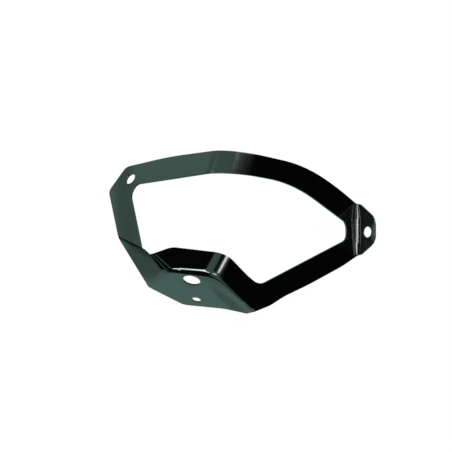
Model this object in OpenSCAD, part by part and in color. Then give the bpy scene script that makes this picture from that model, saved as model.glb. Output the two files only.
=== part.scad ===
// Fender bracket: one pressed and folded steel sheet.
// A band runs round a large window. Its left and right wings stand at about a right angle,
// and at the foot of the corner between them the sheet is pressed into a small tray with two holes.

/* [Sheet] */
// Thickness of the steel sheet
sheet_t = 1.2; // [0.8:0.1:2]
// Outside radius of the sharp folds
fold_r = 3; // [2.6:0.2:4]
// Outside radius of the broad bend beside the back face
side_r = 11; // [8:1:14]

/* [Tray] */
// Width of the back face along its fold with the tray
back_w = 30; // [27:0.5:33]
// Height of the back face up to the window
back_h = 18; // [16:0.5:20]
// Depth of the tray from its back fold to its front edge
tray_d = 39.5; // [37:0.5:42]
// Distance by which the tray's right corner reaches past its front edge
tip_out = 3.3; // [2.6:0.1:4]
// Angle by which the back face leans in over the tray
back_lean = 6; // [3:1:9]
// Length of the fold between the slanted face and the tray
slant_l = 26.5; // [24:0.5:29]
// Height of the crease between the slanted face and the left wing, at its outer end
crease_h = 29.6; // [27:0.5:33]
// Angle by which the slanted face leans out over the tray
slant_lean = 39.5; // [37:0.5:42]

/* [Left wing] */
// Reach of the left wing's lower corner along its foot line
left_reach = 62.5; // [56:0.5:70]
// Height of the left wing's lower corner
left_low = 69.5; // [64:0.5:76]
// Height of the left wing's upper corner
left_high = 85.4; // [82:0.2:92]
// Length of the slanting end edge, measured along the foot line
left_end = 11; // [8:0.5:14]
// Width of the left leg
leg_w = 15.6; // [13:0.2:18]
// Angle by which the left wing leans out as it rises
left_lean = 3; // [1:0.5:5]
// Distance of the left wing's foot line from the slanted face's corner
left_off = 4.9; // [4:0.1:5.5]

/* [Right wing] */
// Reach of the tab's fold along the right wing's foot line, at its lower end
right_reach = 137.8; // [128:0.5:148]
// Height of the lower end of the tab's fold
fold_low = 90.9; // [84:0.5:98]
// Height of the upper end of the tab's fold
fold_high = 121.5; // [116:0.5:127]
// Lean of the tab's fold, measured along the foot line
fold_run = 17.7; // [14:0.5:21]
// Length of the right wing's fold with the tray, from the wing's foot mark
foot_s = 57; // [53:0.5:60]
// Bulge of the arm's outer edge above its foot
heel = 1.3; // [0:0.1:2]
// Width of the right arm
arm_w = 14; // [12:0.2:16]
// Width of the band above the window's right end
top_w = 17.2; // [15:0.2:19]
// Width between the window and the tab's fold
side_w = 12.4; // [10:0.2:15]
// Angle by which the right wing leans out as it rises
right_lean = 7.5; // [6:0.5:9]

/* [Band] */
// Outside radius of the band where it rounds the corner
band_r = 22; // [18:1:30]
// Height of the band's upper edge at the corner
band_top = 74.5; // [72:0.5:78]
// Width of the band at the corner
band_w = 14.6; // [13:0.2:17]
// Reach of the bow in the band's upper edge along the right wing
bow_s = 58; // [52:0.5:64]
// Height of that bow
bow_h = 109.3; // [106:0.5:112]

/* [Tab] */
// Angle through which the tab is folded out from the right wing
tab_turn = 100; // [90:1:110]
// Reach of the tab from its fold
tab_reach = 16.7; // [14:0.5:20]

/* [Holes] */
// Diameter of the mounting bolt's hole in the tray
bolt_d = 10.5; // [8:0.5:12]
// Distance of the bolt hole from the tray's back fold
bolt_y = 9.6; // [9:0.2:11]
// Diameter of the locating hole in the tray
locate_d = 5.4; // [4:0.2:6]
// Distance between the tray's two holes
locate_y = 22.4; // [20:0.2:24]
// Diameter of the fender screw's hole in each wing's end
screw_d = 7.2; // [5:0.2:8]
// Distance of the left wing's hole from its end edge
screw_in = 11.9; // [11:0.1:13]
// Distance of the tab's hole from its fold
tab_hole = 9.3; // [8:0.2:10]

/* [Hidden] */
paint = [0.06, 0.075, 0.07];
// Headings of the faces' outsides, clockwise from X seen from above
left_heading = 119.5;
right_heading = 25.5;
slant_heading = 145;
// Flat strip along a plain edge, and the reach of the tab's two ends past its fold
rim = 2;
lip = 3.6;
// Radii of the rounded corners of the window and of the outline
window_r = 7;
outline_r = 3;
// Least rounding of a corner, so that no two points of the sheet fall together
least_r = 0.4;
// Share by which the band's bend is tighter on its left than on its right
band_skew = 0.35;
// Points on each sharp fold's arc, on a broad arc and on the band's bend
arc_n = 5;
broad_n = 9;
band_n = 20;
drill_n = 48;

// A face of the sheet by its foot line on the tray's level: outward heading, distance of the
// foot line from the slanted face's corner, and the angle by which it leans out as it rises
function face(heading, off, lean) = [[cos(heading), sin(heading), 0], off, lean];
LEFT = face(-left_heading, left_off, left_lean);
SLANT = face(-slant_heading, 0, slant_lean);
BACK = face(-90, 0, -back_lean);
RIGHT = face(-right_heading, back_w * cos(right_heading), right_lean);

// Point on a face, p.x along its foot line and p.y above the tray
function on(f, p) = f[0] * (f[1] + p.y * tan(f[2])) + [-f[0].y, f[0].x, 0] * p.x + [0, 0, p.y];
// Point where two faces meet at height z
function meet(f, g, z) =
    let (a = f[1] + z * tan(f[2]), b = g[1] + z * tan(g[2]), q = f[0].x * g[0].y - f[0].y * g[0].x)
    [(a * g[0].y - b * f[0].y) / q, (b * f[0].x - a * g[0].x) / q, z];
// Place of a point in a face's own two coordinates
function flat(f, p) = [-f[0].y * p.x + f[0].x * p.y, p.z];
function outward(f) = f[0] * cos(f[2]) - [0, 0, sin(f[2])];
function unit(v) = v / norm(v);
function mix(a, b, k) = a + (b - a) * k;
function turned(v) = [v.y, -v.x];

// Corner b of an outline that runs clockwise over a, b and c, moved in by u from ab and v from bc
function inset(a, b, c, u, v) =
    let (p = unit(b - a), q = unit(c - b), n = turned(p), m = turned(q), d = p.x * q.y - p.y * q.x,
        g = m * v - n * u)
    b + n * u + p * ((g.x * q.y - g.y * q.x) / d);

// Arc of n points that rounds the corner k between its neighbours a and b. r is the distance
// of its ends from the corner, or the two distances.
function corner(a, k, b, r, n) =
    let (u = unit(a - k), v = unit(b - k), w = sqrt((1 - u * v) / 2),
        ru = max(is_list(r) ? r[0] : r, least_r), rv = max(is_list(r) ? r[1] : r, least_r))
    [for (i = [0:n - 1])
        let (t = n > 1 ? i / (n - 1) : 0.5, c0 = (1 - t) ^ 2, c1 = 2 * t * (1 - t) * w, c2 = t ^ 2)
        ((k + u * ru) * c0 + k * c1 + (k + v * rv) * c2) / (c0 + c1 + c2)];
// Distance from the corner to the ends of a fold of radius r that turns by the given angle
function tangent(r, turn) = r * tan(turn / 2);
function turn_between(f, g) = acos(outward(f) * outward(g));

side_cut = tangent(side_r, turn_between(BACK, RIGHT));
slant_cut = tangent(fold_r, turn_between(SLANT, BACK));
crease_cut = tangent(fold_r, turn_between(LEFT, SLANT));
band_cut = tangent(band_r, turn_between(LEFT, RIGHT)) * [1 - band_skew, 1 + band_skew];

// Outline of the left wing: the crease's outer end, the two corners of its end, and the band
crease_a = meet(LEFT, SLANT, crease_h);
left_a = [-left_reach, left_low];
left_b = [left_end - left_reach, left_high];
band_a = meet(LEFT, RIGHT, band_top);
band_b = meet(LEFT, RIGHT, band_top - band_w);
left_w = inset(flat(LEFT, crease_a), left_a, left_b, leg_w, leg_w);
crown = mix(left_b, flat(LEFT, band_a), 0.45) + [0, 0.9];

// Outline of the right wing: the bow, the tab's fold and the foot of the arm
bow = [bow_s, bow_h];
fold_a = [right_reach - fold_run, fold_high];
fold_b = [right_reach, fold_low];
foot = [foot_s, 0];
bow_w = bow + [-5, -top_w + 0.8];
end_a = inset(bow, fold_a, fold_b, top_w, side_w);
end_b = inset(fold_a, fold_b, foot, side_w, arm_w);
arm_dir = unit(fold_b - foot);
arm_in = foot + [-arm_dir.y, arm_dir.x] * arm_w;
sill_h = back_h - 1.8;
arm_low = arm_in + arm_dir * ((sill_h + 0.7 - arm_in.y) / arm_dir.y);

// The tab's own directions
tab_a = on(RIGHT, fold_a);
tab_b = on(RIGHT, fold_b);
tab_down = unit(tab_b - tab_a);
tab_out = cos(tab_turn) * cross(outward(RIGHT), tab_down) + sin(tab_turn) * outward(RIGHT);
tab_len = norm(tab_b - tab_a);
function tab(down, out) = tab_a + tab_down * down + tab_out * out;

// The tray's front and the foot of the slanted face
slant_foot = on(SLANT, [-slant_l, 0]);
front_a = [4, tray_d, 0];
front_dir = unit(front_a - slant_foot);

// Stations round the sheet, clockwise seen from outside. Each is a section from the window's
// edge W over the line F, where a fold may run, to the outer edge T, followed by the rounding
// of each of the three lines there and the number of points on it.
function plain(w, t, rw, rt, n = arc_n, r = rim) = [w, t + unit(w - t) * r, t, rw, rt, rt, n];
function folded(w, f, t, rw, rf, rt, n = arc_n) = [w, f, t, rw, rf, rt, n];
STATIONS = [
    // Crease between the slanted face and the left wing
    plain(meet(LEFT, SLANT, crease_h - leg_w * 0.82), crease_a, crease_cut, crease_cut),
    // Rounded end of the left wing
    plain(on(LEFT, left_w + [0.5, -0.95] * window_r), on(LEFT, left_a), window_r / 2, outline_r),
    plain(on(LEFT, left_w + [0.86, 0.07] * window_r), on(LEFT, left_b), window_r / 2, outline_r),
    // Band round the corner, its edges a little crowned on the left, rising to the right
    plain(on(LEFT, crown - [0, band_w + 0.4]), on(LEFT, crown), 12, 12, broad_n),
    plain(band_b, band_a, band_cut, band_cut, band_n),
    plain(on(RIGHT, bow_w), on(RIGHT, bow), 18, 14, broad_n),
    // Window's right end and the tab
    plain(on(RIGHT, mix(bow_w, end_a, 0.88)), tab_a, 0, 0, 1, 0.6),
    folded(on(RIGHT, mix(bow_w, end_a, 0.92)), tab(0.6, 0), tab(0.7, lip), 0, 0, 0, 1),
    folded(on(RIGHT, end_a), tab(8, 0), tab(11, tab_reach), 4, 1, 5, broad_n),
    folded(on(RIGHT, end_b), tab(tab_len - 10, 0), tab(tab_len - 8.5, tab_reach - 0.3), 4, 1, 5, broad_n),
    folded(on(RIGHT, end_b - arm_dir * 7), tab(tab_len - 0.6, 0), tab(tab_len - 0.7, lip), 0, 0, 0, 1),
    plain(on(RIGHT, end_b - arm_dir * 10), tab_b, 0, 0, 1, 0.6),
    // Right arm down to the tray
    plain(on(RIGHT, mix(arm_low, end_b, 0.45)), on(RIGHT, mix(foot, fold_b, 0.4)), 0, 0),
    plain(on(RIGHT, arm_low), on(RIGHT, foot + arm_dir * 17 + turned(arm_dir) * heel), window_r, 3, broad_n),
    plain(on(RIGHT, [foot_s - 13, sill_h + 0.2]), on(RIGHT, mix(foot, fold_b, 0.005)), 0, 0),
    folded(on(RIGHT, [foot_s - 17, sill_h]), on(RIGHT, foot - [2, 0]),
        [back_w + 13.5, tray_d + tip_out, 0], 0, 0, 1),
    folded(on(RIGHT, [foot_s - 23, sill_h + 0.1]), on(RIGHT, foot - [13, 0]),
        [back_w + 11, tray_d + tip_out - 0.8, 0], 0, 0, 1),
    // Broad bend, back face and its corner with the slanted face
    folded(meet(BACK, RIGHT, sill_h + 0.7), meet(BACK, RIGHT, 0), [back_w, tray_d, 0],
        side_cut, side_cut, 2, broad_n),
    folded([-1, back_h * tan(back_lean), back_h], [8, 0, 0], [back_w / 2 + 2, tray_d, 0], 3, 0, 0),
    folded(meet(SLANT, BACK, 11.2), [0, 0, 0], front_a, slant_cut, slant_cut, outline_r),
    // Slanted left face
    folded(on(SLANT, [-11.2, 11.9]), slant_foot * (1 - rim / slant_l), slant_foot + front_dir * rim, 1.4, 0, 0.5),
    plain(on(SLANT, [-12.5, 13.4]), on(SLANT, [-slant_l - 0.1, 0.3]), 0, 0)
];

// One of the three lines round the sheet, its corners rounded
function line(j) =
    let (m = len(STATIONS))
    [for (i = [0:m - 1])
        each corner(STATIONS[(i + m - 1) % m][j], STATIONS[i][j], STATIONS[(i + 1) % m][j],
            STATIONS[i][j + 3], STATIONS[i][6])];

// A section from W over F to T, with the fold rounded as far as its faces allow
function section(w, f, t) =
    let (c = unit(w - f) * unit(t - f), turn = 180 - acos(max(-1, min(1, c))),
        r = min(tangent(fold_r, turn), norm(t - f) * 0.7, norm(w - f) * 0.7))
    [w, mix(w, f, 0.5), each corner(w, f, t, r, arc_n), mix(f, t, 0.75), t];

// Closed solid between the sheet's outer face, a grid of rows, and the same grid moved in by t
module sheet(rows, t) {
    n = len(rows);
    m = len(rows[0]);
    inner = [for (i = [0:n - 1]) [for (j = [0:m - 1])
        let (a = rows[(i + n - 1) % n][j], b = rows[(i + 1) % n][j],
            c = rows[i][max(j - 1, 0)], d = rows[i][min(j + 1, m - 1)],
            normal = unit(cross(b - a, d - c)))
        rows[i][j] - normal * t]];
    function at(side, i, j) = side * n * m + (i % n) * m + j;
    polyhedron(
        points = [each [for (r = rows) each r], each [for (r = inner) each r]],
        faces = [
            for (i = [0:n - 1], j = [0:m - 2]) each [
                [at(0, i, j), at(0, i, j + 1), at(0, i + 1, j + 1)],
                [at(0, i, j), at(0, i + 1, j + 1), at(0, i + 1, j)],
                [at(1, i, j), at(1, i + 1, j + 1), at(1, i, j + 1)],
                [at(1, i, j), at(1, i + 1, j), at(1, i + 1, j + 1)]],
            for (i = [0:n - 1]) each [
                [at(0, i, 0), at(0, i + 1, 0), at(1, i + 1, 0)],
                [at(0, i, 0), at(1, i + 1, 0), at(1, i, 0)],
                [at(0, i, m - 1), at(1, i + 1, m - 1), at(0, i + 1, m - 1)],
                [at(0, i, m - 1), at(1, i, m - 1), at(1, i + 1, m - 1)]]]);
}

// Bore through the sheet at p, along its outward normal v
module bore(p, v, d) {
    u = unit(cross(v, [1, 0, 0]));
    w = cross(v, u);
    multmatrix([[u.x, w.x, v.x, p.x], [u.y, w.y, v.y, p.y], [u.z, w.z, v.z, p.z]])
        translate([0, 0, -2 * sheet_t]) cylinder(h = 3 * sheet_t, d = d, $fn = drill_n);
}

// Centres of the four holes
bolt_at = [back_w / 2 - 1, bolt_y, 0];
locate_at = bolt_at + [-0.6, locate_y, 0];
left_in = turned(unit(left_b - left_a));
left_at = on(LEFT, mix(left_a, left_b, 0.73) + left_in * screw_in);
tab_at = tab(tab_len * 0.56, tab_hole);

// The bracket lies on the left wing's lower corner, the foot of the tab's fold and the front
// of the tray. X runs from the first to the second and Z stands up from the surface below;
// the bolt hole's centre is the origin.
rest_left = on(LEFT, left_a);
rest_front = front_a - [1, 1, 0];
rest_x = unit(tab_b - rest_left);
rest_z = unit(cross(rest_front - rest_left, rest_x));
rest_y = cross(rest_z, rest_x);
module lay() {
    multmatrix([[rest_x.x, rest_x.y, rest_x.z, 0], [rest_y.x, rest_y.y, rest_y.z, 0],
        [rest_z.x, rest_z.y, rest_z.z, 0]])
        translate(-bolt_at) children();
}

module bracket_plate() {
    lines = [line(0), line(1), line(2)];
    rows = [for (i = [0:len(lines[0]) - 1]) section(lines[0][i], lines[1][i], lines[2][i])];
    color(paint) lay() difference() {
        sheet(rows, sheet_t);
        bore(bolt_at, [0, 0, -1], bolt_d);
        bore(locate_at, [0, 0, -1], locate_d);
        bore(left_at, outward(LEFT), screw_d);
        bore(tab_at, unit(cross(tab_down, tab_out)), screw_d);
    }
}

bracket_plate();
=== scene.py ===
# %% [markdown]
# # A pressed steel fender bracket
# The bracket is one sheet of steel, cut round a large window and folded, then painted black.
# The script loads the imported solid as a fixed frame and reads its box. The sheet's sizes
# are in millimetres, and MM turns them into Blender's metres at the last moment. The floor's
# patches and the lamps are in metres.

# %% Load the frame
import math

import bpy
import bmesh
from mathutils import Matrix, Vector


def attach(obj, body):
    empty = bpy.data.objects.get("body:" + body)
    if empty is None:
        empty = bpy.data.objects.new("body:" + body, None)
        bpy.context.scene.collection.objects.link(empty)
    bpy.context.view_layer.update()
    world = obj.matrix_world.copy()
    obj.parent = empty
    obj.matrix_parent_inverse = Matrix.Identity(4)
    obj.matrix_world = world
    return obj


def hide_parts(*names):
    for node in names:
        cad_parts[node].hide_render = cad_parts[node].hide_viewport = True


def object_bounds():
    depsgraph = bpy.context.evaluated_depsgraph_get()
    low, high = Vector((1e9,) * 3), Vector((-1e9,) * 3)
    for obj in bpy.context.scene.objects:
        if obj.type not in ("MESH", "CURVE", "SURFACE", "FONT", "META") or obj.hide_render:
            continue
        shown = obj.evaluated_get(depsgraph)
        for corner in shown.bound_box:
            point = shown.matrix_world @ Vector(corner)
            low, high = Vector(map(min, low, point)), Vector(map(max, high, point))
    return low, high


MM = 0.001
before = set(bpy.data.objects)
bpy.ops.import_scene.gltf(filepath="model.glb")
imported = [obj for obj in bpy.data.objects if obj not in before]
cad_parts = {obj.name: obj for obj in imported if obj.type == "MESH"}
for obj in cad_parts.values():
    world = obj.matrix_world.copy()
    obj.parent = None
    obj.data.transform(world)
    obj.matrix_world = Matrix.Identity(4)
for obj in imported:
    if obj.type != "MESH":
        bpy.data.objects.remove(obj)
cad_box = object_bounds()
print("solid box in mm:", [[round(c / MM, 1) for c in corner] for corner in cad_box])

# %% [markdown]
# ## The sizes of the sheet
# A pressing is drawn flat face by flat face, so its sizes are heights above the tray and
# lengths along each face's foot line. The script draws the sheet again from those sizes with
# finer arcs and soft rims, because the solid's own facets would show in a glossy paint.
# A bend's radius is that of the outer side.

# %% Sheet, tray and folds
SHEET_T = 1.2
FOLD_R = 3.0
SLANT_R = 5.4
CREASE_R = 7.0
SIDE_R = 12.4
BACK_W = 30.0
BACK_H = 18.0
SILL_DROP = 1.8
SILL_H = BACK_H - SILL_DROP
SILL_UP = 0.7
TRAY_D = 39.5
FRONT_X = 4.0
TIP_X = 13.5
TIP_OUT = 3.3
SLANT_L = 27.0
CREASE_H = 29.6

# %% Wings and band
LEFT_LOW = Vector((-62.5, 69.5))
LEFT_HIGH = Vector((-51.5, 85.4))
LEG_W = 15.6
BAND_TOP = 74.5
BAND_W = 15.8
BAND_R = 22.0
BAND_SKEW = 0.35
CROWN_AT = 0.42
CROWN_UP = 2.1
CROWN_W = 17.7
BOW = Vector((58.0, 110.1))
BOW_IN = Vector((-5.0, -17.7))

# %% Tab and arm
TAB_HIGH = Vector((120.1, 121.5))
TAB_LOW = Vector((137.8, 90.9))
TAB_TURN = 100.0
TAB_REACH = 16.7
TOP_W = 17.2
SIDE_W = 12.4
FOOT = Vector((56.95, 0.0))
ARM_W = 14.0
ARM_BULGE = 1.4
HEEL = 1.3
HEEL_AT = 17.0

# %% Roundings of the corners, at the window first and then at the outer edge
WINDOW_R = 7.0
OUTLINE_R = 3.0
LEFT_ROUND = (WINDOW_R / 2, OUTLINE_R)
CROWN_ROUND = (12.0, 14.0)
BOW_ROUND = (26.0, 24.0)
SHOULDER_ROUND = (0.0, 13.0)
HEEL_ROUND = (WINDOW_R, 3.0)
SHARP = (0.0, 0.0)

# %% [markdown]
# ## Faces as foot lines
# Each face is a plane that stands on the tray's level. Its foot line has a heading and a
# distance from the tray's left corner, and the plane leans out by a small angle as it rises.
# A point on a face then needs only two numbers, and two faces meet in one line.

# %% A face and the points on it
class Face:
    """A plane by the heading of its outside, its distance and its lean."""

    def __init__(self, heading, off, lean):
        turn = math.radians(heading)
        self.out = Vector((math.cos(turn), math.sin(turn), 0.0))
        self.along = Vector((-self.out.y, self.out.x, 0.0))
        self.off = off
        self.slope = math.tan(math.radians(lean))

    def on(self, p):
        """The point of the face at p: a length along the foot line and a height."""
        reach = self.off + p[1] * self.slope
        return self.out * reach + self.along * p[0] + Vector((0.0, 0.0, p[1]))

    def flat(self, p):
        """The same two numbers of a point that lies on the face."""
        return Vector((p.dot(self.along), p.z))

    def normal(self):
        return (self.out - Vector((0.0, 0.0, self.slope))).normalized()


RIGHT_HEADING = 25.5
LEFT = Face(-119.5, 4.9, 3.0)
SLANT = Face(-145.0, 0.0, 39.5)
BACK = Face(-90.0, 0.0, -6.0)
RIGHT = Face(-RIGHT_HEADING, BACK_W * math.cos(math.radians(RIGHT_HEADING)), 7.5)


def meet(f, g, z):
    """The point at height z on the line where two faces meet."""
    a = f.off + z * f.slope
    b = g.off + z * g.slope
    q = f.out.x * g.out.y - f.out.y * g.out.x
    x = (a * g.out.y - b * f.out.y) / q
    y = (b * f.out.x - a * g.out.x) / q
    return Vector((x, y, z))


def tangent(r, f, g):
    """From the corner of two faces to where a bend of radius r starts."""
    turn = f.normal().angle(g.normal())
    return r * math.tan(turn / 2)


print("bend of the band turns", round(math.degrees(LEFT.normal().angle(RIGHT.normal())), 1), "degrees")

# %% [markdown]
# ## The outlines of the two wings
# A blanking die leaves a strip of steady width beside the outer edge. So a corner of the
# window is found by moving the outer corner inwards by the width of the strip on each side.
# The band's crown and its bow have a place of their own, as their curves aren't parallel.

# %% Corners of the outlines
def inset(a, b, c, u, v):
    """Corner b of a clockwise outline a, b, c moved in by u from ab and v from bc."""
    p = (b - a).normalized()
    q = (c - b).normalized()
    n = Vector((p.y, -p.x))
    m = Vector((q.y, -q.x))
    g = m * v - n * u
    return b + n * u + p * ((g.x * q.y - g.y * q.x) / (p.x * q.y - p.y * q.x))


crease = meet(LEFT, SLANT, CREASE_H)
band = meet(LEFT, RIGHT, BAND_TOP)
crown = LEFT_HIGH.lerp(LEFT.flat(band), CROWN_AT) + Vector((0.0, CROWN_UP))
left_w = inset(LEFT.flat(crease), LEFT_LOW, LEFT_HIGH, LEG_W, LEG_W)
bow_w = BOW + BOW_IN
end_high = inset(BOW, TAB_HIGH, TAB_LOW, TOP_W, SIDE_W)
end_low = inset(TAB_HIGH, TAB_LOW, FOOT, SIDE_W, ARM_W)
arm = (TAB_LOW - FOOT).normalized()
arm_out = Vector((arm.y, -arm.x))
arm_in = FOOT - arm_out * ARM_W
arm_low = arm_in + arm * ((SILL_H + SILL_UP - arm_in.y) / arm.y)
print("arm rises at", round(math.degrees(math.atan2(arm.y, arm.x)), 1), "degrees")

# %% The tab's own directions
tab_a = RIGHT.on(TAB_HIGH)
tab_b = RIGHT.on(TAB_LOW)
tab_len = (tab_b - tab_a).length
tab_down = (tab_b - tab_a).normalized()
tab_turn = math.radians(TAB_TURN)
tab_out = RIGHT.normal().cross(tab_down) * math.cos(tab_turn) + RIGHT.normal() * math.sin(tab_turn)
print("tab fold", round(tab_len, 1), "mm long")


def tab(down, out):
    """A point on the tab, down along its fold and out from it."""
    return tab_a + tab_down * down + tab_out * out


# %% [markdown]
# ## Stations round the loop
# The loop is described by stations, clockwise from outside. Each holds a point on the
# window's edge, one on the line where a fold may run, and one on the outer edge, with the
# rounding of the corner at each. Between stations the sheet is ruled straight.

# %% Two kinds of station
FINE = 10
BROAD = 20
BEND = 44
RIM = 2.0


def plain(w, t, rw, rt, n=FINE, rim=RIM):
    """A station on one flat face: the fold line lies just inside the outer edge."""
    return [w, t + (w - t).normalized() * rim, t], [rw, rt, rt], n


def folded(w, f, t, rw, rf, rt, n=FINE):
    """A station where a fold runs between the window and the outer edge."""
    return [w, f, t], [rw, rf, rt], n


def vec(x, y, z=0.0):
    """A point in space, on the tray's level if no height is given."""
    return Vector((x, y, z))


# %% How long each bend is on either side of its corner
side_cut = tangent(SIDE_R, BACK, RIGHT)
slant_cut = tangent(SLANT_R, SLANT, BACK)
crease_cut = tangent(CREASE_R, LEFT, SLANT)
band_cut = [tangent(BAND_R, LEFT, RIGHT) * (1 + skew) for skew in (-BAND_SKEW, BAND_SKEW)]
print("bend lengths:", [round(c, 1) for c in (side_cut, slant_cut, crease_cut, *band_cut)])

# %% [markdown]
# The window's left corner is cut off by a short straight edge. Between the bow and the tab
# the outer edge runs a little full, in a low shoulder. A fold that fades out towards the
# window is rounded less there, by the share TIGHT.

# %% The stations of the left wing and the band
CREASE_DROP = 0.82
TIGHT = 0.6
CUT_LOW = Vector((0.5, -0.95)) * WINDOW_R
CUT_HIGH = Vector((0.86, 0.07)) * WINDOW_R
SHOULDER_AT = (0.6, 0.62)
SHOULDER_UP = 1.3
crease_w = meet(LEFT, SLANT, CREASE_H - LEG_W * CREASE_DROP)
shoulder_w = bow_w.lerp(end_high, SHOULDER_AT[0])
shoulder = BOW.lerp(TAB_HIGH, SHOULDER_AT[1]) + Vector((0.0, SHOULDER_UP))
stations = [
    plain(crease_w, crease, crease_cut * TIGHT, crease_cut),
    plain(LEFT.on(left_w + CUT_LOW), LEFT.on(LEFT_LOW), *LEFT_ROUND),
    plain(LEFT.on(left_w + CUT_HIGH), LEFT.on(LEFT_HIGH), *LEFT_ROUND),
    plain(LEFT.on(crown - Vector((0.0, CROWN_W))), LEFT.on(crown), *CROWN_ROUND, BROAD),
    plain(meet(LEFT, RIGHT, BAND_TOP - BAND_W), band, band_cut, band_cut, BEND),
    plain(RIGHT.on(bow_w), RIGHT.on(BOW), *BOW_ROUND, BROAD),
    plain(RIGHT.on(shoulder_w), RIGHT.on(shoulder), *SHOULDER_ROUND),
]

# %% [markdown]
# The tab's fold starts NICK in from the sheet's edge, and the tab's own edge springs from
# there by a short lip. TAB_HEAD and TAB_TAIL are lengths from the fold's upper and lower end,
# along the fold and along the tab's outer edge, to the two corners of the tab. END_ROUND
# holds the roundings at the window, the fold and the tab.

# %% The stations of the tab
FOLD_SIDE = (0.88, 0.92)
NICK = 0.6
LIP = 3.6
LIP_DOWN = 0.7
TAB_HEAD = (8.0, 11.0)
TAB_TAIL = (10.0, 8.5)
TAB_TAPER = 0.3
END_ROUND = (4.0, 1.0, 5.0)
ARM_START = (7.0, 10.0)
fold_side = [RIGHT.on(bow_w.lerp(end_high, share)) for share in FOLD_SIDE]
tab_low = tab(tab_len - TAB_TAIL[1], TAB_REACH - TAB_TAPER)
stations += [
    plain(fold_side[0], tab_a, *SHARP, 1, NICK),
    folded(fold_side[1], tab(NICK, 0), tab(LIP_DOWN, LIP), *SHARP, 0, 1),
    folded(RIGHT.on(end_high), tab(TAB_HEAD[0], 0), tab(TAB_HEAD[1], TAB_REACH), *END_ROUND, BROAD),
    folded(RIGHT.on(end_low), tab(tab_len - TAB_TAIL[0], 0), tab_low, *END_ROUND, BROAD),
    folded(RIGHT.on(end_low - arm * ARM_START[0]), tab(tab_len - NICK, 0),
           tab(tab_len - LIP_DOWN, LIP), *SHARP, 0, 1),
    plain(RIGHT.on(end_low - arm * ARM_START[1]), tab_b, *SHARP, 1, NICK),
]

# %% [markdown]
# The arm's lower edge bulges a little. Each step down the arm is a share of the way along
# its inner edge and along its outer edge, then the bulge and the outer rounding. At its
# foot the arm has a small heel, and the window's edge turns into the sill over the tray.

# %% The stations of the arm and its foot
ARM_STEPS = (
    (0.8, 0.85, ARM_BULGE, 9.0),
    (0.45, 0.5, ARM_BULGE, 9.0),
    (0.2, 0.27, 0.45, 5.0),
)
SILL_STEPS = ((13.0, 0.2), (17.0, 0.0), (23.0, 0.1))
FOOT_UP = 0.005
sill = [RIGHT.on((FOOT.x - back, SILL_H + up)) for back, up in SILL_STEPS]
for inner, outer, bulge, rounding in ARM_STEPS:
    edge = FOOT.lerp(TAB_LOW, outer) + arm_out * bulge
    stations.append(plain(RIGHT.on(arm_low.lerp(end_low, inner)), RIGHT.on(edge), 0, rounding))
heel = RIGHT.on(FOOT + arm * HEEL_AT + arm_out * HEEL)
stations += [
    plain(RIGHT.on(arm_low), heel, *HEEL_ROUND, BROAD),
    plain(sill[0], RIGHT.on(FOOT.lerp(TAB_LOW, FOOT_UP)), *SHARP),
]

# %% [markdown]
# The tray's fold starts behind the arm's foot, runs along the back face and ends in the
# slanted face's foot line. The tray's outer edge starts at a tip in front of the foot.

# %% The stations of the tray
FOLD_BACK = (2.0, 13.0)
TIP_EASE = vec(2.5, 0.8)
BACK_TOP_X = -1.0
BACK_TOP_R = 3.0
BACK_FOLD_X = 8.0
FRONT_MID = BACK_W / 2 + 2.0
SIDE_FOOT_R = 2.0
tip = vec(BACK_W + TIP_X, TRAY_D + TIP_OUT)
back_top = vec(BACK_TOP_X, -BACK_H * BACK.slope, BACK_H)
fold_back = [RIGHT.on((FOOT.x - back, 0.0)) for back in FOLD_BACK]
stations += [
    folded(sill[1], fold_back[0], tip, *SHARP, 1),
    folded(sill[2], fold_back[1], tip - TIP_EASE, *SHARP, 1),
    folded(meet(BACK, RIGHT, SILL_H + SILL_UP), meet(BACK, RIGHT, 0), vec(BACK_W, TRAY_D),
           side_cut, side_cut, SIDE_FOOT_R, BROAD),
    folded(back_top, vec(BACK_FOLD_X, 0), vec(FRONT_MID, TRAY_D), BACK_TOP_R, 0, 0),
]

# %% The stations of the slanted face
NOTCH_H = 11.2
SLANT_FOOT = 1.5
SLANT_INNER = ((-11.2, 11.9), (-12.5, 13.4))
SLANT_INNER_R = 1.4
SLANT_TIP_R = 0.5
SLANT_START = (0.1, 0.3)
slant_foot = SLANT.on((-SLANT_L, 0.0))
front = Vector((FRONT_X, TRAY_D, 0.0))
front_dir = (front - slant_foot).normalized()
stations += [
    folded(meet(SLANT, BACK, NOTCH_H), vec(0, 0), front,
           slant_cut * TIGHT, slant_cut * SLANT_FOOT, OUTLINE_R),
    folded(SLANT.on(SLANT_INNER[0]), slant_foot * (1 - RIM / SLANT_L), slant_foot + front_dir * RIM,
           SLANT_INNER_R, 0, SLANT_TIP_R),
    plain(SLANT.on(SLANT_INNER[1]), SLANT.on((-SLANT_L - SLANT_START[0], SLANT_START[1])), *SHARP),
]
print(len(stations), "stations")

# %% [markdown]
# ## From stations to rows
# Every corner of the three lines is rounded by a true arc: a rational Bezier curve whose
# middle weight is the cosine of half the turn. The same function rounds the folds, so one
# piece of maths makes both the outline's corners and the bends.

# %% Round the lines and the folds
LEAST_R = 0.4
ARC = 9
FOLD_MOST = 0.7
MID_WALL = 0.5
NEAR_EDGE = 0.75


def corner(a, k, b, r, n):
    """n points on the arc that rounds corner k; r is one length or one for each side."""
    u = (a - k).normalized()
    v = (b - k).normalized()
    weight = math.sqrt(max(0.0, (1 - u.dot(v)) / 2))
    ru, rv = r if isinstance(r, list) else (r, r)
    p = k + u * max(ru, LEAST_R)
    q = k + v * max(rv, LEAST_R)
    points = []
    for i in range(n):
        t = i / (n - 1) if n > 1 else 0.5
        c = ((1 - t) ** 2, 2 * t * (1 - t) * weight, t * t)
        points.append((p * c[0] + k * c[1] + q * c[2]) / sum(c))
    return points


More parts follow.
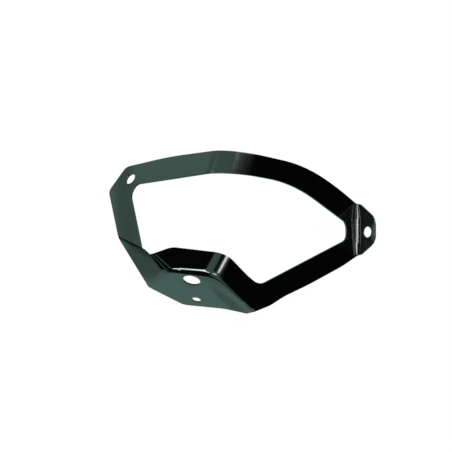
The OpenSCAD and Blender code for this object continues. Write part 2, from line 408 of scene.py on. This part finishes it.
def line(j):
    """One of the three lines round the sheet: 0 the window, 1 the folds, 2 the outer edge."""
    count = len(stations)
    points = []
    for i, (trio, rounding, n) in enumerate(stations):
        before = stations[i - 1][0][j]
        after = stations[(i + 1) % count][0][j]
        points += corner(before, trio[j], after, rounding[j], n)
    return points


def section(w, f, t):
    """Points across the outer face, from the window over the rounded fold to the edge."""
    a = w - f
    b = t - f
    turn = math.pi - a.angle(b, math.pi)
    r = min(FOLD_R * math.tan(turn / 2), b.length * FOLD_MOST, a.length * FOLD_MOST)
    return [w, w.lerp(f, MID_WALL)] + corner(w, f, t, r, ARC) + [f.lerp(t, NEAR_EDGE), t]


rows = [section(w, f, t) for w, f, t in zip(line(0), line(1), line(2))]
print(len(rows), "rows of", len(rows[0]), "points")

# %% [markdown]
# ## Thickness and soft rims
# The inner face is the outer one moved in along its normals. A punched edge is never
# razor sharp and paint rounds it further, so both corners of each rim get a small quarter
# round, which catches a thin line of light.

# %% Close the section
EDGE_R = 0.28
EDGE_STEPS = 4


def normal_at(i, j):
    """The outward normal of the outer face at row i, point j."""
    across = rows[i][min(j + 1, len(rows[i]) - 1)] - rows[i][max(j - 1, 0)]
    along = rows[(i + 1) % len(rows)][j] - rows[i - 1][j]
    return along.cross(across).normalized()


def rim_round(p, n, edge):
    """Points round the sheet's cut edge at p, from the outer face to the inner one."""
    points = []
    for depth, side in ((EDGE_R, 1), (SHEET_T - EDGE_R, -1)):
        for k in range(EDGE_STEPS + 1):
            a = math.pi / 2 * k / EDGE_STEPS
            if side < 0:
                a = math.pi / 2 - a
            back = edge * (-EDGE_R * (1 - math.sin(a)))
            points.append(p + back - n * (depth - side * EDGE_R * math.cos(a)))
    return points


def closed_section(i):
    """The whole outline of the cut sheet at row i."""
    row = rows[i]
    last = len(row) - 1
    normals = [normal_at(i, j) for j in range(last + 1)]
    outer = row[1:last]
    inner = [row[j] - normals[j] * SHEET_T for j in range(last - 1, 0, -1)]
    top = rim_round(row[last], normals[last], (row[last] - row[last - 1]).normalized())
    bottom = rim_round(row[0], normals[0], (row[0] - row[1]).normalized())
    return outer + top + inner + bottom[::-1]


loop = [closed_section(i) for i in range(len(rows))]
print("closed sections of", len(loop[0]), "points")

# %% [markdown]
# ## Lay the sheet in the shared frame
# The bracket rests on the left wing's lower corner, the foot of the tab's fold and the
# front of the tray. The same three points that lay the solid lay this sheet, and the bolt
# hole's centre is the origin.

# %% The lay
BOLT_LEFT = 1.0
BOLT_IN = 9.6
REST_IN = 1.0
bolt_at = vec(BACK_W / 2 - BOLT_LEFT, BOLT_IN)
rest_left = LEFT.on(LEFT_LOW)
rest_front = front - vec(REST_IN, REST_IN)
rest_x = (tab_b - rest_left).normalized()
rest_z = (rest_front - rest_left).cross(rest_x).normalized()
rest_y = rest_z.cross(rest_x)
lay = Matrix((rest_x, rest_y, rest_z)).to_4x4() @ Matrix.Translation(-bolt_at)
lay = Matrix.Scale(MM, 4) @ lay

# %% Build the sheet's mesh
across_n = len(loop[0])
sheet_mesh = bpy.data.meshes.new("bracket_sheet")
faces = []
for i in range(len(loop)):
    near = i * across_n
    far = (i + 1) % len(loop) * across_n
    for j in range(across_n):
        k = (j + 1) % across_n
        faces.append((near + j, far + j, far + k, near + k))
sheet_mesh.from_pydata([lay @ p for ring in loop for p in ring], [], faces)
sheet = bpy.data.objects.new("bracket_sheet", sheet_mesh)
bpy.context.scene.collection.objects.link(sheet)
print("sheet:", len(faces), "quads")

# %% [markdown]
# ## The four holes
# Each hole is cut by a turned cutter: a cylinder that flares a little at both faces of the
# sheet, so that the cut leaves a rounded rim all round. A Boolean modifier makes the cut
# and is applied, since the paint needs the finished mesh.

# %% A cutter for each hole
CUT_STEPS = 96
CUT_OUT = 3 * SHEET_T
CUT_GRAZE = 0.02


def cutter(name, p, v, d):
    """A lathed cutter at p, whose axis runs along the sheet's outward normal v."""
    r = d / 2
    profile = [(r + EDGE_R, CUT_OUT), (r + EDGE_R, EDGE_R * CUT_GRAZE)]
    for k in range(EDGE_STEPS + 1):
        a = math.pi / 2 * k / EDGE_STEPS
        profile.append((r + EDGE_R * (1 - math.sin(a)), -EDGE_R * (1 - math.cos(a))))
    profile += [(x, -SHEET_T - z) for x, z in reversed(profile)]
    bm = bmesh.new()
    rings = []
    for x, z in profile:
        ring = []
        for k in range(CUT_STEPS):
            turn = 2 * math.pi * k / CUT_STEPS
            ring.append(bm.verts.new((x * math.cos(turn), x * math.sin(turn), z)))
        rings.append(ring)
    for a, b in zip(rings, rings[1:]):
        for k in range(CUT_STEPS):
            m = (k + 1) % CUT_STEPS
            bm.faces.new((a[k], a[m], b[m], b[k]))
    bm.faces.new(rings[0][::-1])
    bm.faces.new(rings[-1])
    bmesh.ops.recalc_face_normals(bm, faces=bm.faces)
    turn = v.to_track_quat("Z", "Y").to_matrix().to_4x4()
    bm.transform(lay @ Matrix.Translation(p) @ turn)
    mesh = bpy.data.meshes.new(name)
    bm.to_mesh(mesh)
    bm.free()
    obj = bpy.data.objects.new(name, mesh)
    bpy.context.scene.collection.objects.link(obj)
    return obj


# %% Where the holes are
BOLT_D = 10.5
LOCATE_D = 5.4
LOCATE_FROM_BOLT = vec(-0.6, 22.4)
SCREW_D = 7.2
LEFT_HOLE_AT = 0.73
LEFT_HOLE_IN = 11.9
TAB_HOLE_AT = 0.56
TAB_HOLE_OUT = 9.3
down = vec(0, 0, -1)
end_dir = (LEFT_HIGH - LEFT_LOW).normalized()
end_in = Vector((end_dir.y, -end_dir.x))
left_hole = LEFT_LOW.lerp(LEFT_HIGH, LEFT_HOLE_AT) + end_in * LEFT_HOLE_IN
tab_hole = tab(tab_len * TAB_HOLE_AT, TAB_HOLE_OUT)
holes = {
    "bolt_hole": (bolt_at, down, BOLT_D),
    "locating_hole": (bolt_at + LOCATE_FROM_BOLT, down, LOCATE_D),
    "left_screw_hole": (LEFT.on(left_hole), LEFT.normal(), SCREW_D),
    "tab_screw_hole": (tab_hole, tab_down.cross(tab_out).normalized(), SCREW_D),
}

# %% Cut the holes
bpy.context.view_layer.objects.active = sheet
for name, (p, v, d) in holes.items():
    tool = cutter(name, p, v, d)
    cut = sheet.modifiers.new(name, "BOOLEAN")
    cut.operation = "DIFFERENCE"
    cut.solver = "MANIFOLD"
    cut.object = tool
    bpy.ops.object.modifier_apply(modifier=name)
    bpy.data.objects.remove(tool)
print("after the holes:", len(sheet.data.polygons), "faces")

# %% [markdown]
# ## Smooth light over flat faces
# All faces are shaded smooth, with normals weighted by face area. The large flat faces then
# keep their own normal up to the edge, and only the narrow rims and bends turn the light.

# %% Shade the sheet
sheet.data.shade_smooth()
weighted = sheet.modifiers.new("weighted", "WEIGHTED_NORMAL")
weighted.weight = 50
weighted.keep_sharp = True
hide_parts("bracket_plate")
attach(sheet, "root")

# %% [markdown]
# ## Writing shader maths as expressions
# A material is a graph of nodes, but its maths reads better as Python. A small class wraps a
# socket, and an expression on it adds the Math nodes. Every other node comes from one
# method, which sets the node's options first and then its sockets. Sockets go by their name
# in small letters, or by one of the short names below where a node has several alike.

# %% The node tree
SOCKETS = {"a": 0, "b": 1, "share": 0, "mix_a": 6, "mix_b": 7, "shader_a": 1, "shader_b": 2}


class Graph:
    """A material's or the world's node tree."""

    def __init__(self, tree):
        self.tree = tree
        tree.nodes.clear()

    def node(self, kind, settings=None, **sockets):
        """A new node of a kind, with its settings and then its sockets' values or links."""
        made = self.tree.nodes.new(kind)
        for key, value in (settings or {}).items():
            setattr(made, key, value)
        for key, value in sockets.items():
            self.put(made.inputs[SOCKETS.get(key, key.replace("_", " ").title())], value)
        return made

    def put(self, socket, value):
        """Links a socket to another, or sets its value."""
        if isinstance(value, Sock):
            self.tree.links.new(value.socket, socket)
        else:
            socket.default_value = value

    def sock(self, made, name=0):
        return Sock(self, made.outputs[name])

    def dot(self, a, b):
        """The dot product of two vectors."""
        return self.sock(self.node("ShaderNodeVectorMath", {"operation": "DOT_PRODUCT"}, a=a, b=b), "Value")

    def smooth(self, value, low, high, start, end):
        """Goes softly from start to end as value goes from low to high."""
        made = self.node("ShaderNodeMapRange", {"interpolation_type": "SMOOTHSTEP"}, value=value,
                         from_min=low, from_max=high, to_min=start, to_max=end)
        return self.sock(made, "Result")

    def mix(self, a, b, share):
        """The colour that goes from a to b as share goes from 0 to 1."""
        made = self.node("ShaderNodeMix", {"data_type": "RGBA"}, share=share, mix_a=a, mix_b=b)
        return Sock(self, made.outputs[2])

    def rays(self):
        """Whether a ray comes from the camera, and whether it comes from a mirroring surface."""
        path = self.node("ShaderNodeLightPath")
        mirror = self.sock(path, "Is Glossy Ray") + self.sock(path, "Is Transmission Ray")
        return self.sock(path, "Is Camera Ray"), mirror.clamp(0.0, 1.0)


# %% The socket class
class Sock:
    """An output socket that takes part in Python's arithmetic."""

    def __init__(self, graph, socket):
        self.graph = graph
        self.socket = socket

    def math(self, operation, a, b):
        """A Math node on two sockets or numbers."""
        made = self.graph.node("ShaderNodeMath", {"operation": operation}, a=a, b=b)
        return self.graph.sock(made)

    def __add__(self, other):
        return self.math("ADD", self, other)

    def __radd__(self, other):
        return self.math("ADD", other, self)

    def __sub__(self, other):
        return self.math("SUBTRACT", self, other)

    def __rsub__(self, other):
        return self.math("SUBTRACT", other, self)

    def __mul__(self, other):
        return self.math("MULTIPLY", self, other)

    def __rmul__(self, other):
        return self.math("MULTIPLY", other, self)

    def clamp(self, low, high):
        return self.math("MINIMUM", self.math("MAXIMUM", self, low), high)


# %% [markdown]
# ## Black paint on steel
# The paint is a near-black coat with a soft gloss. What the eye reads as grey-green on the
# tray and the left wing is the tinted room in that gloss, so the base stays almost black.
# Broad noise and fine noise change the gloss a little, the fine one also leaves small worn
# specks, and a faint bump gives the skin of sprayed paint.

# %% The paint's values
BLACK = (0.0005, 0.0006, 0.00055, 1.0)
WORN = (0.005, 0.006, 0.0055, 1.0)
PAINT_IOR = 1.7
ROUGH = 0.12
ROUGH_LIMITS = (0.08, 0.5)
BROAD_DULL = 0.08
SPECK_DULL = 0.04
SPECK_FROM = 0.62
SPECK_GAIN = 6.0
SPECK_MOST = 0.5
SKIN_SHARE = 0.6
NOISE_MIDDLE = 0.5
BUMP_STRENGTH = 0.035
BUMP_DEPTH = 0.0002

# %% Paint material
paint = bpy.data.materials.new("black_paint")
paint.use_nodes = True
g = Graph(paint.node_tree)
place = g.sock(g.node("ShaderNodeTexCoord"), "Object")


def noise(scale, detail):
    """Noise in the object's own space; the scale is features per metre."""
    return g.sock(g.node("ShaderNodeTexNoise", scale=scale, detail=detail, vector=place))


broad = noise(28.0, 3.0)
speckle = noise(900.0, 2.0)
skin = noise(2600.0, 1.0)
dullness = ROUGH + (broad - NOISE_MIDDLE) * BROAD_DULL + (speckle - NOISE_MIDDLE) * SPECK_DULL
wear = ((speckle - SPECK_FROM) * SPECK_GAIN).clamp(0.0, 1.0) * SPECK_MOST
height = skin * SKIN_SHARE + speckle * (1 - SKIN_SHARE)
bump = g.node("ShaderNodeBump", strength=BUMP_STRENGTH, distance=BUMP_DEPTH, height=height)
coat = g.node("ShaderNodeBsdfPrincipled", base_color=g.mix(BLACK, WORN, wear),
              roughness=dullness.clamp(*ROUGH_LIMITS), normal=g.sock(bump))
coat.inputs["IOR"].default_value = PAINT_IOR
g.node("ShaderNodeOutputMaterial", surface=g.sock(coat))
sheet.data.materials.clear()
sheet.data.materials.append(paint)
print("paint nodes:", len(paint.node_tree.nodes))

# %% [markdown]
# ## A white floor
# The part lies on a white sweep that fills the picture. Its material is a lit white with a
# share of plain white light for the camera, so that the sweep stays white and still takes
# the part's soft shadow. The paint mirrors a tinted sweep instead, with a few soft patches of
# painted shade in it, which keep the slanted face and the folds darker than the tray. Each
# patch has a place, a turn in degrees, a half length, a half width and how dark it is.

# %% The floor
FLOOR_HALF = 6.0
floor_z = cad_box[0][2]
floor_mesh = bpy.data.meshes.new("floor")
ends = (-FLOOR_HALF, FLOOR_HALF)
floor_mesh.from_pydata([(x, y, floor_z) for y in ends for x in ends], [], [(0, 1, 3, 2)])
floor = bpy.data.objects.new("floor", floor_mesh)
bpy.context.scene.collection.objects.link(floor)

# %% What the paint mirrors in the floor
WHITE = (1.0, 1.0, 1.0, 1.0)
MIRRORED = (0.50, 0.87, 0.76, 1.0)
# Painted shade: the colour that the patches mix into what the paint mirrors.
PAINTED_SHADE = (0.0, 0.0, 0.0, 1.0)
LIT = (0.9, 0.9, 0.9, 1.0)
WHITE_SHARE = 0.96
PATCH_EDGE = (0.6, 1.7)
PATCHES = (
    ((-0.050, 0.019, 0.0), 0, 0.020, 0.016, 0.45),
    ((-0.090, 0.020, 0.0), -8, 0.036, 0.045, 0.97),
    ((-0.190, -0.055, 0.0), 20, 0.095, 0.080, 0.97),
    ((-0.150, 0.145, 0.0), -45, 0.070, 0.045, 0.36),
    ((0.000, -0.066, 0.0), 0, 0.075, 0.042, 0.97),
    ((-0.085, -0.180, 0.0), -115, 0.115, 0.100, 0.97),
    ((-0.250, -0.540, 0.0), -115, 0.420, 0.380, 0.97),
    ((0.032, -0.009, 0.0), 14, 0.014, 0.0022, 0.34),
)

# %% Its material
white = bpy.data.materials.new("white_sweep")
white.use_nodes = True
g = Graph(white.node_tree)
camera_ray, mirror_ray = g.rays()
spot = g.sock(g.node("ShaderNodeTexCoord"), "Object")
shade = 0.0
# Painted shade: each patch darkens the floor only where the paint mirrors it.
for spot_at, turn, long, wide, dark in PATCHES:
    away = g.sock(g.node("ShaderNodeVectorMath", {"operation": "SUBTRACT"}, a=spot, b=spot_at))
    c = math.cos(math.radians(turn))
    s = math.sin(math.radians(turn))
    u = g.dot(away, (c / long, s / long, 0.0))
    v = g.dot(away, (-s / wide, c / wide, 0.0))
    shade = shade + g.smooth(u * u + v * v, *PATCH_EDGE, dark, 0.0)
mirrored = g.mix(MIRRORED, PAINTED_SHADE, shade.clamp(0.0, 1.0))
lit = g.node("ShaderNodeBsdfDiffuse", color=LIT)
glow = g.node("ShaderNodeEmission", color=g.mix(WHITE, mirrored, mirror_ray))
sweep = g.node("ShaderNodeMixShader", share=camera_ray * WHITE_SHARE + mirror_ray,
               shader_a=g.sock(lit), shader_b=g.sock(glow))
g.node("ShaderNodeOutputMaterial", surface=g.sock(sweep))
floor.data.materials.append(white)
print("floor nodes:", len(white.node_tree.nodes))

# %% [markdown]
# ## The room
# The room is a pale tent, dim enough to light the part plainly. Five black cards hang in
# it: a large one at the right keeps the right wing black and lets the band fade into it
# round the bend, one behind is what the back face mirrors, one overhead darkens the start
# of the broad bend, and one at the left and one in front darken the folds. A card has a
# direction and two limits, where it starts to shade and where it is fully black. Only the
# paint sees the cards: the picture's own backdrop stays white.

# %% The cards
def toward(azimuth, elevation):
    """A unit vector from the part: azimuth from X towards Y, elevation above the floor."""
    a = math.radians(azimuth)
    e = math.radians(elevation)
    return Vector((math.cos(a) * math.cos(e), math.sin(a) * math.cos(e), math.sin(e)))


TENT = 0.1
CARDS = {
    "right": (toward(10, 5), 0.36, 0.95),
    "behind": (toward(128, 36), 0.966, 0.982),
    "over": (toward(52, 62), 0.972, 0.997),
    "left": (toward(185, 12), 0.825, 0.865),
    "front": (toward(-128, 12), 0.80, 0.88),
}

# %% The world
world = bpy.data.worlds.new("studio")
bpy.context.scene.world = world
world.use_nodes = True
g = Graph(world.node_tree)
way = g.sock(g.node("ShaderNodeTexCoord"), "Generated")
clear = 1.0
for where, outer, inner in CARDS.values():
    clear = clear * g.smooth(g.dot(way, tuple(where)), outer, inner, 1.0, 0.0)
camera_ray, mirror_ray = g.rays()
other = 1.0 - (camera_ray + mirror_ray).clamp(0.0, 1.0)
sky = g.node("ShaderNodeBackground", color=g.mix(WHITE, MIRRORED, mirror_ray),
             strength=camera_ray + mirror_ray * clear + other * TENT)
g.node("ShaderNodeOutputWorld", surface=g.sock(sky))
print(len(CARDS), "cards,", len(world.node_tree.nodes), "world nodes")

# %% [markdown]
# ## Soft lamps
# A wide lamp straight overhead lights the scene, and the paint doesn't mirror it. Three soft
# boxes hang lower, to the left and in front: they draw the thin bright lines down the tab's
# fold and along the tray's fold. A tall lamp at the right runs down the broad bend beside
# the back face as a bright band. A lamp's glow is its brightness, whatever its size.

# %% A soft lamp
def lamp(name, at, aim, width, height, glow):
    """A soft lamp that stands at a place and shines back along aim."""
    light = bpy.data.lights.new(name, "AREA")
    light.shape = "RECTANGLE"
    light.size = width
    light.size_y = height
    light.energy = glow * math.pi * width * height
    obj = bpy.data.objects.new(name, light)
    obj.location = at
    obj.rotation_euler = aim.to_track_quat("Z", "Y").to_euler()
    bpy.context.scene.collection.objects.link(obj)
    return obj


# %% The lamps
UP = Vector((0.0, 0.0, 1.0))
OVERHEAD_UP = 2.0
OVERHEAD_SIZE = 2.0
OVERHEAD_GLOW = 3.0
BOX_UP = 1.4
BOXES = {
    "soft_box": (-1.12, -0.3, 0.4, 1.3, 15.0),
    "front_box": (-0.74, -1.02, 0.4, 0.36, 20.0),
    "near_box": (0.42, -1.0, 0.7, 0.42, 11.0),
}
SIDE_WAY = toward(22.5, 43)
SIDE_FAR = 3.0
SIDE_SIZE = (0.46, 1.6)
SIDE_GLOW = 8.5
middle = sum((Vector(c) for c in cad_box), Vector()) / 2
overhead = lamp("overhead", middle + UP * OVERHEAD_UP, UP, OVERHEAD_SIZE, OVERHEAD_SIZE, OVERHEAD_GLOW)
overhead.visible_glossy = False
for name, (x, y, width, height, glow) in BOXES.items():
    lamp(name, middle + Vector((x, y, BOX_UP)), UP, width, height, glow)
lamp("side_lamp", middle + SIDE_WAY * SIDE_FAR, SIDE_WAY, *SIDE_SIZE, SIDE_GLOW)
print(len(bpy.data.lights), "lamps")

# %% [markdown]
# ## The camera
# The camera stands about 0.9 m off, above and in front, and is rolled by some 20 degrees as
# in the photograph. Its narrow view fits the square picture.

# %% The camera
CAMERA_AT = Vector((-223.65, -579.45, 656.46))
CAMERA_TURN = (41.846, -20.849, 0.416)
VIEW_ANGLE = 17.14
camera_data = bpy.data.cameras.new("camera")
camera_data.sensor_fit = "AUTO"
camera_data.angle = math.radians(VIEW_ANGLE)
camera = bpy.data.objects.new("camera", camera_data)
camera.location = CAMERA_AT * MM
camera.rotation_euler = [math.radians(a) for a in CAMERA_TURN]
bpy.context.scene.collection.objects.link(camera)
bpy.context.scene.camera = camera
bpy.context.scene.view_settings.view_transform = "Standard"
print("camera", round(CAMERA_AT.length * MM, 2), "m from the bolt hole")
